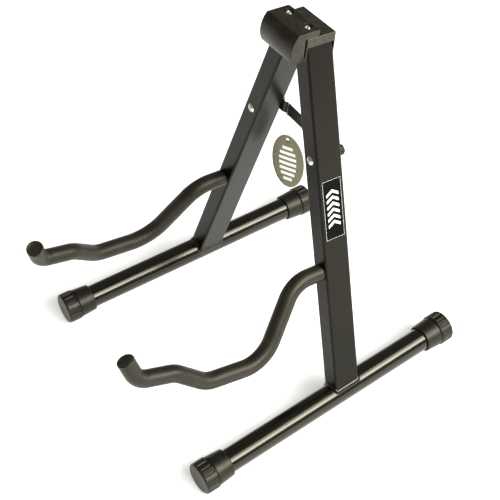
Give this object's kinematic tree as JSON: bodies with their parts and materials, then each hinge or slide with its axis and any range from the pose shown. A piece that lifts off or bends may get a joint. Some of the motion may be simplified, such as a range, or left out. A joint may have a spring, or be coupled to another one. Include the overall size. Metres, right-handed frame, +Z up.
{
  "type": "folding guitar stand",
  "caption": "Folding A-frame floor stand for a guitar, with foam-covered hook arms, a locking two-link brace and rubber-capped base tubes.",
  "frame": {"origin": "on the floor, under the middle of the whole stand's box", "axes": "+Z up; +Y to the back; the arms reach to the front along -Y; +X to the right of a viewer who faces +Y"},
  "size_m": [0.311, 0.3732, 0.3949],
  "materials": {
    "black_powder_coat": "satin black powder coat",
    "black_bracket_steel": "satin black",
    "black_rivet_steel": "dull black",
    "cap_rubber": "matte",
    "pad_rubber": "matte",
    "arm_foam": "matte closed-cell foam",
    "arm_rod_steel": "black",
    "bright_zinc": "bright zinc plate",
    "gloss_label": "gloss film",
    "clear_nylon": "clear moulded nylon",
    "silver_card": "coated card"
  },
  "bodies": {
    "head": {"head_bracket": "black_bracket_steel", "head_pad": "pad_rubber", "pad_screws": "bright_zinc", "right_hinge_pin": "black_rivet_steel", "left_hinge_pin": "black_rivet_steel"},
    "right_leg": {"right_leg_tube": "black_powder_coat", "right_base_tube": "black_powder_coat", "right_front_cap": "cap_rubber", "right_rear_cap": "cap_rubber", "right_arm_rod": "arm_rod_steel", "right_arm_foam": "arm_foam", "right_brace_bolt": "bright_zinc", "right_brace_nut": "bright_zinc", "right_brace_washer": "bright_zinc", "right_leg_label": "gloss_label"},
    "left_leg": {"left_leg_tube": "black_powder_coat", "left_base_tube": "black_powder_coat", "left_front_cap": "cap_rubber", "left_rear_cap": "cap_rubber", "left_arm_rod": "arm_rod_steel", "left_arm_foam": "arm_foam", "left_brace_bolt": "bright_zinc", "left_brace_nut": "bright_zinc", "left_brace_washer": "bright_zinc"},
    "right_brace_link": {"brace_link_right": "black_bracket_steel", "brace_rivet_front": "black_rivet_steel"},
    "left_brace_link": {"brace_link_left": "black_bracket_steel", "brace_rivet_rear": "black_rivet_steel", "tag_ring": "clear_nylon"},
    "tag": {"tag_loop": "clear_nylon", "hang_tag": "silver_card"}
  },
  "joints": [
    {"name": "right_leg_fold", "type": "hinge", "parent": "head", "child": "right_leg", "pos_m": [0.0136, 0.08663, 0.37329], "axis": [0, 0.9925, -0.1222], "range_deg": [0, 17.51]},
    {"name": "left_leg_fold", "type": "hinge", "parent": "head", "child": "left_leg", "pos_m": [-0.0136, 0.08663, 0.37329], "axis": [0, -0.9925, 0.1222], "range_deg": [0, 17.52]},
    {"name": "right_link_fold", "type": "hinge", "parent": "right_leg", "child": "right_brace_link", "pos_m": [0.04901, 0.07344, 0.26616], "axis": [0, 0.9925, -0.1222], "range_deg": [0, 58.44]},
    {"name": "left_link_fold", "type": "hinge", "parent": "left_leg", "child": "left_brace_link", "pos_m": [-0.04901, 0.07344, 0.26616], "axis": [0, -0.9925, 0.1222], "range_deg": [0, 58.44]},
    {"name": "tag_swing", "type": "hinge", "parent": "left_brace_link", "child": "tag", "pos_m": [-0.03112, 0.08995, 0.25537], "axis": [0, 0.9925, -0.1222], "range_deg": [0, 75.95]}
  ],
  "couplings": [
    {"joint": "left_leg_fold", "follows": "right_leg_fold", "ratio": 1},
    {"joint": "right_link_fold", "follows": "right_leg_fold", "ratio": 3.3379},
    {"joint": "left_link_fold", "follows": "right_leg_fold", "ratio": 3.3379},
    {"joint": "tag_swing", "follows": "right_leg_fold", "ratio": 4.3379}
  ]
}
